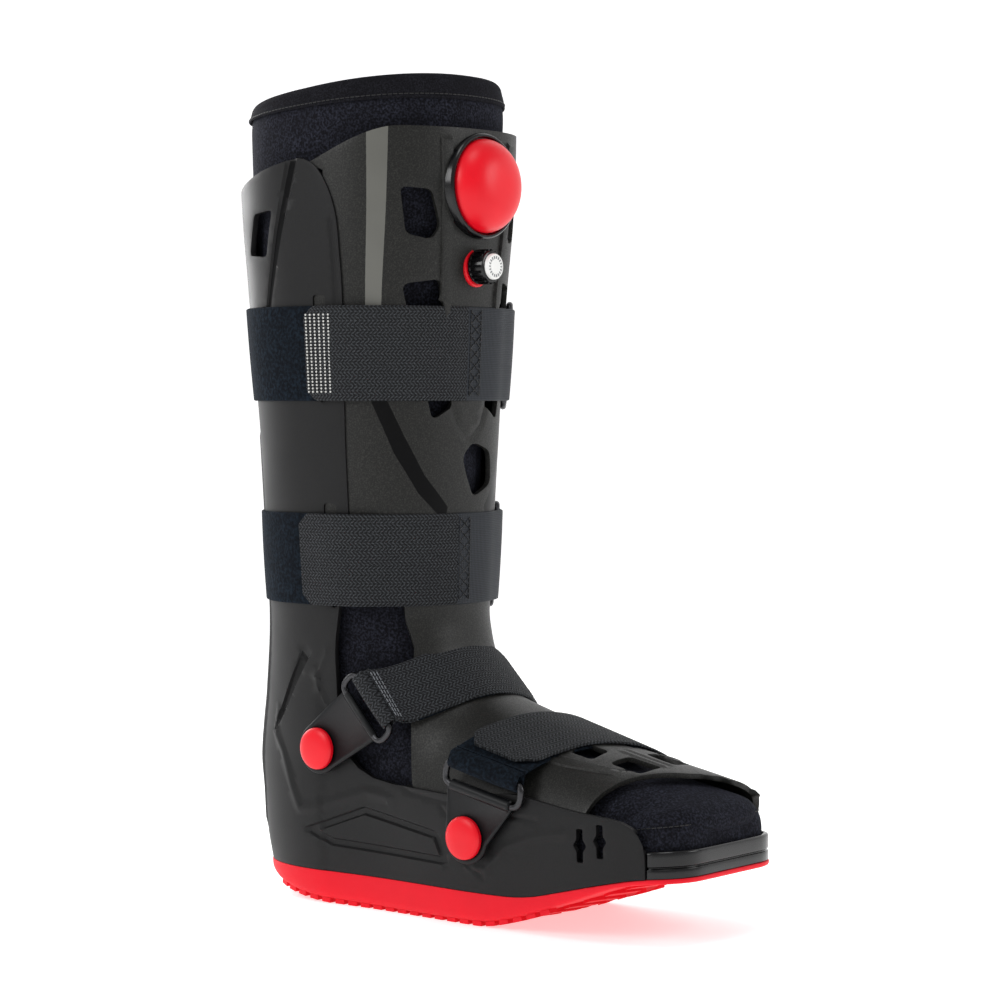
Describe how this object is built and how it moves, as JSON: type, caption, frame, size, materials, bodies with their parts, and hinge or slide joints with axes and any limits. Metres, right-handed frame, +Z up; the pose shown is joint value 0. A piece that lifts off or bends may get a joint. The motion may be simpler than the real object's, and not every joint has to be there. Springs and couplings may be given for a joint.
{
  "type": "medical walking boot",
  "caption": "Tall walker boot: rigid shell and front panel over an open padded liner, rocker sole, strap closures with wire rings, air pump dome and turning valve.",
  "frame": {"origin": "on the floor under the middle of the boot's outline in plan", "axes": "+Z up along the leg, +X from heel to toe, +Y across to the wearer's left"},
  "size_m": [0.2904, 0.1312, 0.416],
  "materials": {
    "sole_rubber": "matte moulded rubber",
    "shell_plastic": "matte moulded",
    "panel_plastic": "satin fine grain",
    "gloss_plastic": "glossy",
    "liner_fabric": "brushed loop fabric over foam",
    "strap_velour": "loop velour",
    "strap_woven": "woven hook tape",
    "ring_steel": "dark steel wire",
    "tab_plastic": "matte",
    "rivet_plastic": "satin moulded",
    "bulb_rubber": "smooth soft rubber",
    "cap_plastic": "satin"
  },
  "bodies": {
    "boot": {"outsole": "sole_rubber", "boot_shell": "shell_plastic", "toe_ledge": "gloss_plastic", "front_panel": "panel_plastic", "liner": "liner_fabric", "calf_strap": "strap_velour", "calf_hook_tab": "strap_woven", "calf_ring": "ring_steel", "shin_strap": "strap_velour", "shin_hook_tab": "strap_woven", "shin_ring": "ring_steel", "ankle_strap": "strap_velour", "ankle_hook_tab": "strap_woven", "ankle_ring_left": "ring_steel", "ankle_ring_right": "ring_steel", "ankle_tab_left": "tab_plastic", "ankle_tab_right": "tab_plastic", "ankle_rivet_left": "rivet_plastic", "ankle_rivet_right": "rivet_plastic", "forefoot_strap": "strap_velour", "forefoot_hook_tab": "strap_woven", "forefoot_ring_left": "ring_steel", "forefoot_ring_right": "ring_steel", "forefoot_tab_left": "tab_plastic", "forefoot_tab_right": "tab_plastic", "forefoot_rivet_left": "rivet_plastic", "forefoot_rivet_right": "rivet_plastic", "pump_bezel": "gloss_plastic", "pump_bulb": "bulb_rubber", "valve_seat": "bulb_rubber"},
    "valve": {"valve_knob": "gloss_plastic", "valve_cap": "cap_plastic"}
  },
  "joints": [
    {"name": "valve_turn", "type": "hinge", "parent": "boot", "child": "valve", "pos_m": [-0.0097, 0.0004, 0.32042], "axis": [1, 0, 0], "range_deg": [0, 90]}
  ]
}
